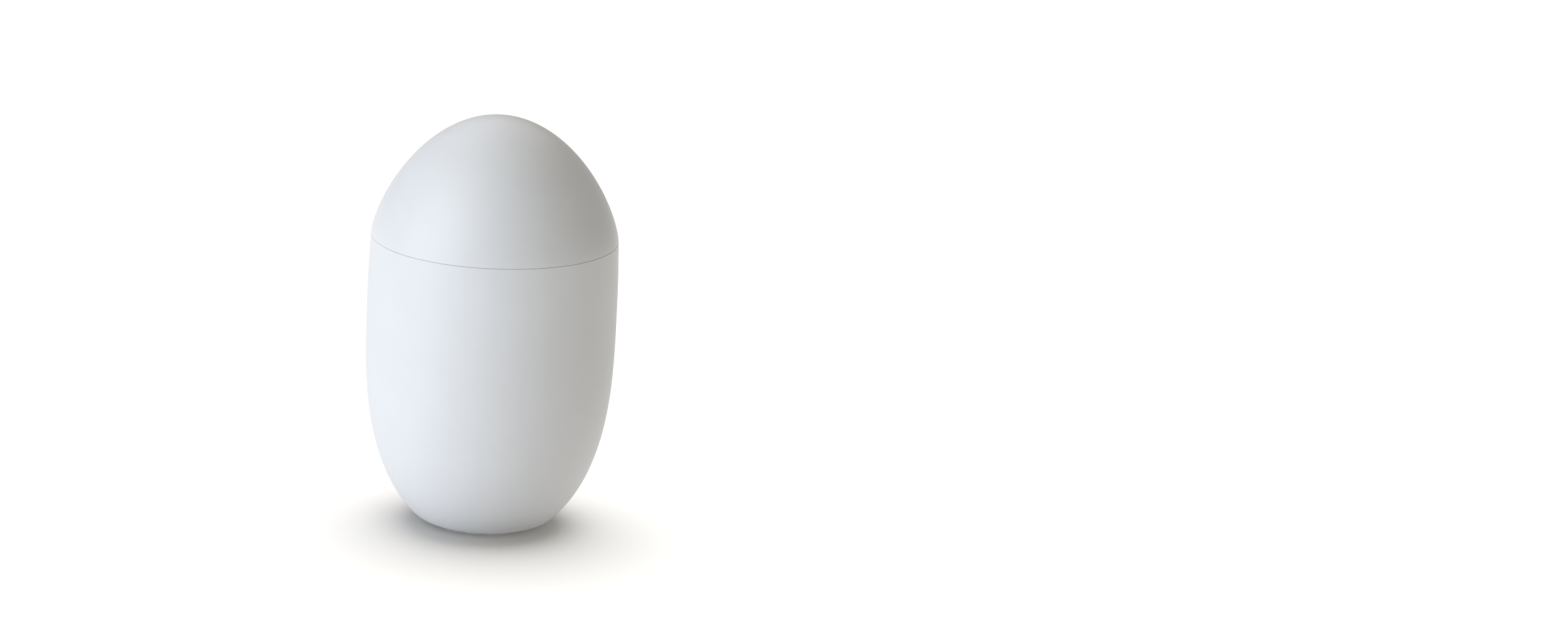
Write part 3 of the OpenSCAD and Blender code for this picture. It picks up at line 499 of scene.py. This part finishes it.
def capSkin(start, inset=0.0):
    crown = boxOf["cap_shell"][1].z / mm - inset
    rings = capShell["rings"]
    heights = [start + (crown - start) * math.sin(math.pi / 2 * i / rings) for i in range(rings + 1)]
    return [(capRadius(h, inset), h) for h in heights[:-1]] + [(0, crown)]


def capBoss(angle, low):    # a screw boss that runs up into the cap's wall
    s = capShell
    boss = bmesh.new()
    outline = [(0, low), (s["bossRadius"], low), (s["bossRadius"], low + 1), (0, low + 1)]
    lathe(boss, outline, bodyShell["bossSteps"])
    bmesh.ops.translate(boss, verts=boss.verts, vec=(s["bossPlace"] * mm, 0, 0))
    turned(boss, angle)
    for vert in boss.verts:
        if vert.co.z > (low + 0.5) * mm:    # the top follows the dome, half way into its wall
            reach = math.hypot(vert.co.x, vert.co.y) / mm
            vert.co.z = domeHeight(reach, s["wall"] / 2) * mm
    return boss


def domeHeight(radius, inset):    # height at which the inset skin has a radius
    crown = boxOf["cap_shell"][1].z / mm - inset
    share = 1 - (radius / (bodyRadiusAtSeam() - inset)) ** 2
    return capSeam() + (crown - capSeam()) * share ** (1 / capShell["power"])


def makeCapShell():
    s = capShell
    rim = boxOf["cap_shell"][0].z / mm - bodyShell["lip"]
    start = rim + s["rimBevel"]
    outside, inside = capSkin(start), capSkin(start, s["wall"])
    edge = [(inside[0][0] + s["rimBevel"], rim), (outside[0][0] - s["rimBevel"], rim)]
    outline = [*reversed(inside), *edge, *outside]
    shell = bmesh.new()
    lathe(shell, outline, s["steps"])
    roundEdges(shell, s["rounding"], sharpAngle, 3)
    seat = capSeam() + s["bossHeight"]
    shell = joined(shell, [capBoss(angle, seat) for angle in s["bossAngles"]], "UNION")
    holes = [pilotHole(s["bossPlace"], angle, s["pilotRadius"], seat - 1, seat + s["pilotDepth"])
             for angle in s["bossAngles"]]
    shell = joined(shell, holes, "DIFFERENCE")
    keep(shell, "capShell", "cap_shell", shellFinish("capWhite", rim * mm, -1.0, 1.0))
    print("cap shell made")


footPad = {
    "steps": 120, "edge": 0.5, "grooves": (4.5, 7.0, 9.5), "grooveWidth": 0.7, "grooveSide": 0.2,
    "grooveDepth": 0.35, "rounding": 0.1, "sharpness": 25,
}


def makeFootPad():
    s = footPad
    low, high = boxOf["foot_pad"]
    radius, bottom, top = high.x / mm, low.z / mm, high.z / mm
    ribbed = [(0, bottom)]
    for place in s["grooves"]:    # three shallow grooves give the pad its grip
        end, roof = place + s["grooveWidth"], bottom + s["grooveDepth"]
        ribbed += [(place, bottom), (place + s["grooveSide"], roof)]
        ribbed += [(end - s["grooveSide"], roof), (end, bottom)]
    pad = bmesh.new()
    lathe(pad, [*ribbed, (radius - s["edge"], bottom), (radius, bottom + s["edge"]), (radius, top), (0, top)],
          s["steps"])
    roundEdges(pad, s["rounding"], s["sharpness"], 2)
    keep(pad, "footPad", "foot_pad", finishFor("foot_pad"))
    print("foot made")


bellCup = {"steps": 128, "wall": 0.9, "corner": 3.5, "arc": 10, "hole": 1.55, "lip": 0.22}


def makeBell():
    s = bellCup
    low, high = boxOf["bell"]
    radius, bottom, top = high.x / mm, low.z / mm, high.z / mm
    def bend(drop):    # the corner between the flat end and the wall
        side = radius - drop
        corner = [(radius - s["corner"], bottom + drop), (side, bottom + drop), (side, bottom + s["corner"])]
        return bent(corner, s["arc"])
    cup = bmesh.new()
    lathe(cup, [(s["hole"], bottom), *bend(0), (radius, top), (radius - s["wall"], top),
                *reversed(bend(s["wall"])), (s["hole"], bottom + s["wall"])], s["steps"])
    roundEdges(cup, s["lip"], sharpAngle, 3)
    keep(cup, "bellCup", "bell", finishFor("bell"))
    print("bell made")


# everything else keeps its CAD shape and gets broken edges
brokenEdge = {
    "usual": 0.06, "upper_plate": 0.12, "lower_plate": 0.12, "ballast_weight": 0.6, "collar_ring": 0.15,
    "cap_carrier": 0.2, "mainspring": 0.03, "anchor_pins": 0.03, "click_spring": 0.03, "lever_spring": 0.03,
    "ballast_screw": 0.15, "bell_nut": 0.15, "pillar_nuts": 0.12, "movement_screws": 0.12,
    "carrier_screws": 0.12,
}
dressing = {"merge": 0.0005 * mm, "flat": 0.3, "sharpness": 32}    # the angles are in degrees


def dressNode(node):    # a merged copy of the node with its sharp edges broken
    s = dressing
    bm = bmesh.new()
    bm.from_mesh(frame["nodes"][node].data)
    bmesh.ops.remove_doubles(bm, verts=bm.verts, dist=s["merge"])
    bmesh.ops.dissolve_limit(bm, angle_limit=math.radians(s["flat"]), verts=bm.verts, edges=bm.edges,
                             use_dissolve_boundaries=False, delimit=set())
    roundEdges(bm, brokenEdge.get(node, brokenEdge["usual"]), s["sharpness"], 2)
    keep(bm, node + "Piece", node, finishFor(node))


makeBodyShell()
makeCapShell()
makeFootPad()
makeBell()
handMade = {"lower_shell", "cap_shell", "foot_pad", "bell"}
for node in frame["nodes"]:
    if node not in handMade:
        dressNode(node)
print("movement dressed:", len(frame["nodes"]) - len(handMade), "nodes")


studio = {
    "floorSize": 8.0, "floorColour": (0.92, 0.92, 0.92, 1), "floorTint": (0.90, 0.90, 0.90, 1),
    "floorRoughness": 0.85, "weave": 1.2 * mm, "weaveDepth": 0.01 * mm, "tintPatch": 0.8,
    "ambient": (1.0, 0.94, 0.83, 1), "ambientStrength": 0.358,
    "lamps": {    # what each one lights, degrees round, degrees up, spread, colour, strength
        "window": ("timer", 215, 20, 60, (0.68, 0.80, 1.0), 3.1),
        "ceiling": ("timer", 215, 45, 60, (0.95, 0.85, 0.62), 1.1),
        "rearCard": ("timer", 90, 50, 60, (0.95, 0.94, 1.0), 1.05),
        "underCard": ("timer", 0, -90, 120, (1.0, 0.98, 0.96), 0.7),
        "tableLamp": ("floor", 90, 78, 60, (1.0, 1.0, 1.0), 2.95),
    },
}


def makeFloor():
    s = studio
    bm = bmesh.new()
    bmesh.ops.create_grid(bm, x_segments=8, y_segments=8, size=s["floorSize"] / 2)
    mesh = bpy.data.meshes.new("floor")
    bm.to_mesh(mesh)
    bm.free()
    floor = bpy.data.objects.new("floor", mesh)
    bpy.context.scene.collection.objects.link(floor)
    paint = Paint("paleFloor")
    spot = paint.place()
    weave = paint.cloud(spot, s["weave"], 2, 0.6)
    broad = paint.cloud(spot, s["tintPatch"], 2, 0.5)
    colour = paint.mix(broad * 0.6, s["floorColour"], s["floorTint"])
    roughness = s["floorRoughness"] + (weave - 0.5) * 0.05
    paint.finish(colour, roughness, paint.bump(weave, s["weaveDepth"], 0.2))
    clear = paint.add("BsdfTransparent")    # seen from below the floor is clear, so the base can be looked at
    side = paint.add("NewGeometry", output="Backfacing")
    both = paint.add("MixShader", None, {0: side, 1: Wire(paint, paint.shader.outputs[0]), 2: clear})
    paint.feed(paint.tree.nodes["Material Output"].inputs["Surface"], both)
    mesh.materials.append(paint.material)
    return floor


def lightLinks(name, things):    # a set of pieces that a lamp is kept to
    links = bpy.data.collections.new(name)
    for thing in things:
        links.objects.link(thing)
    return links


def makeStudio():
    s = studio
    floor = makeFloor()
    world = bpy.data.worlds.new("studio")
    bpy.context.scene.world = world
    world.use_nodes = True
    world.node_tree.nodes["Background"].inputs["Color"].default_value = s["ambient"]
    world.node_tree.nodes["Background"].inputs["Strength"].default_value = s["ambientStrength"]
    pieces = [thing for thing in bpy.context.scene.objects if thing.type == "MESH" and thing != floor]
    lit = {"timer": lightLinks("litTimer", pieces), "floor": lightLinks("litFloor", [floor])}
    for name, (target, around, up, spread, colour, strength) in s["lamps"].items():
        lamp = bpy.data.lights.new(name, "SUN")
        lamp.energy = strength
        lamp.color = colour
        lamp.angle = math.radians(spread)
        source = bpy.data.objects.new(name, lamp)
        bpy.context.scene.collection.objects.link(source)
        across, rise = math.radians(around), math.radians(up)
        level = math.cos(rise)
        towards = Vector((level * math.cos(across), level * math.sin(across), math.sin(rise)))
        source.rotation_euler = towards.to_track_quat("Z", "Y").to_euler()
        source.light_linking.receiver_collection = lit[target]
        if target == "timer":    # the floor doesn't shade the card below, so the foot can be seen
            source.light_linking.blocker_collection = lit[target]


view = {
    "elevation": 15.4, "roll": 3.06, "distance": 1.6, "frameWidth": 0.3763,
    "aside": -0.0702, "below": -0.00125, "middle": (0, 0, 0.05),
}


def makeCamera():
    s = view
    camera = bpy.data.cameras.new("camera")
    camera.sensor_width = 36
    camera.lens = camera.sensor_width * s["distance"] / s["frameWidth"]
    lens = bpy.data.objects.new("camera", camera)
    bpy.context.scene.collection.objects.link(lens)
    bpy.context.scene.camera = lens
    tilt = math.radians(s["elevation"])
    back = Vector((0, -math.cos(tilt), math.sin(tilt)))
    across, up = Vector((1, 0, 0)), Vector((0, math.sin(tilt), math.cos(tilt)))
    roll = math.radians(s["roll"])
    right = across * math.cos(roll) + up * math.sin(roll)
    above = up * math.cos(roll) - across * math.sin(roll)
    aim = Vector(s["middle"]) - right * s["aside"] - above * s["below"]
    turn = Matrix((right, above, back)).transposed()
    lens.rotation_euler = turn.to_euler()
    lens.location = aim + back * s["distance"]


makeStudio()
makeCamera()
bpy.context.scene.view_settings.view_transform = "Standard"
bpy.context.scene.view_settings.look = "None"
print("studio ready")
